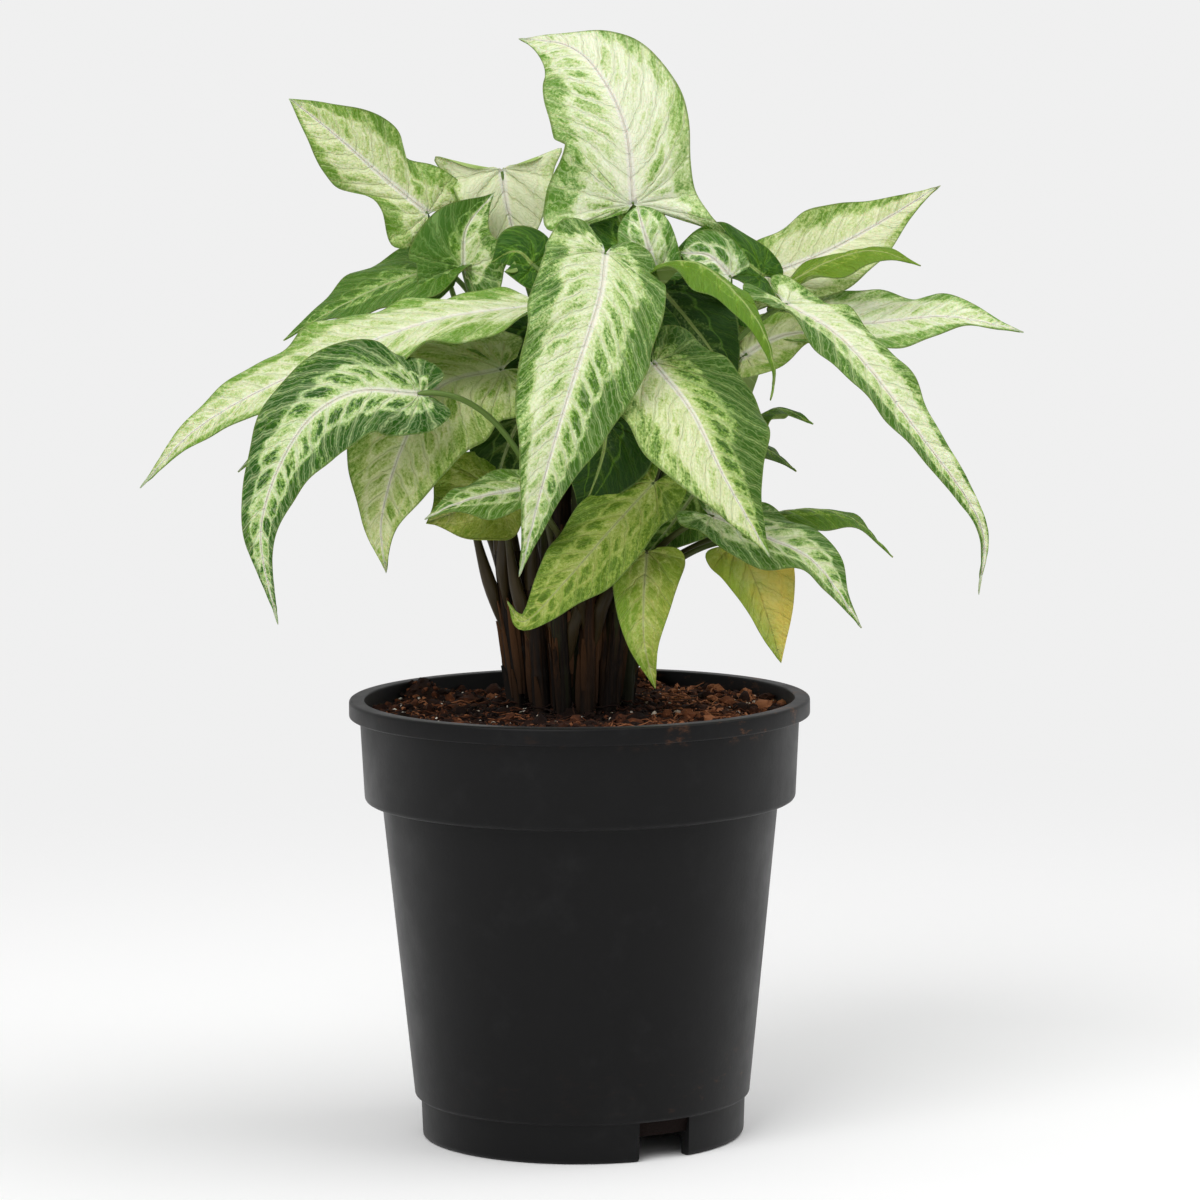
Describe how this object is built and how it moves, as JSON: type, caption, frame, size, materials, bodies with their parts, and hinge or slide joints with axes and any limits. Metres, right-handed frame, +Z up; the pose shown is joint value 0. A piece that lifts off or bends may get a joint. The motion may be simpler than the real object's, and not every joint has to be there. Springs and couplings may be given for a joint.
{
  "type": "potted syngonium",
  "caption": "Arrowhead vine with drooping, cream-variegated arrow-shaped leaves on a clump of brown canes, in a round black nursery pot full of soil.",
  "frame": {"origin": "on the axis of the pot, in the plane its foot stands on, which is the middle of the bottom of the box", "axes": "+Z up, -Y towards the front that is usually shown, +X to the right of that front"},
  "size_m": [0.2472, 0.1473, 0.3119],
  "materials": {
    "pot_plastic": "satin moulded black polypropylene, lighter on the edge of the lip",
    "potting_soil": "loose dark reddish-brown potting mix with pale perlite grains",
    "stem": "dark brown, lengthwise-striated canes with green patches",
    "leaf": "satin leaf, cream-white along the veins, mid to dark green between them, paler and matte below"
  },
  "bodies": {
    "root": {"pot": "pot_plastic", "soil": "potting_soil", "cane_left_front": "stem", "cane_front_left": "stem", "cane_front_right": "stem", "cane_right_front": "stem", "cane_left": "stem", "cane_inner_left": "stem", "cane_inner_front": "stem", "cane_right": "stem", "cane_inner_right": "stem", "cane_back_left": "stem", "cane_inner_back": "stem", "cane_back_right": "stem", "cane_back": "stem", "leaf_top_upright": "leaf", "leaf_upper_left": "leaf", "leaf_left_long": "leaf", "leaf_left_edge": "leaf", "leaf_left_hanging": "leaf", "leaf_left_upright": "leaf", "leaf_lower_left": "leaf", "leaf_left_behind": "leaf", "leaf_front_centre": "leaf", "leaf_front_right": "leaf", "leaf_lower_centre": "leaf", "leaf_arched": "leaf", "leaf_right_long": "leaf", "leaf_right_level": "leaf", "leaf_right_upper": "leaf", "leaf_right_narrow": "leaf", "leaf_right_small": "leaf", "leaf_right_pointed": "leaf", "leaf_low_right_back": "leaf", "leaf_low_right_front": "leaf", "leaf_yellowing": "leaf", "leaf_low_centre": "leaf", "leaf_inner_left": "leaf", "leaf_inner_hanging": "leaf", "leaf_back_pale": "leaf", "leaf_inner_dark": "leaf", "leaf_small_grey": "leaf", "leaf_dark_right": "leaf", "leaf_inner_low": "leaf", "leaf_centre_shaded": "leaf", "leaf_low_shaded": "leaf", "leaf_under_arch": "leaf", "leaf_behind_left": "leaf", "leaf_behind_centre": "leaf", "leaf_behind_right": "leaf", "leaf_behind_low": "leaf", "leaf_behind_low_left": "leaf"}
  },
  "joints": []
}
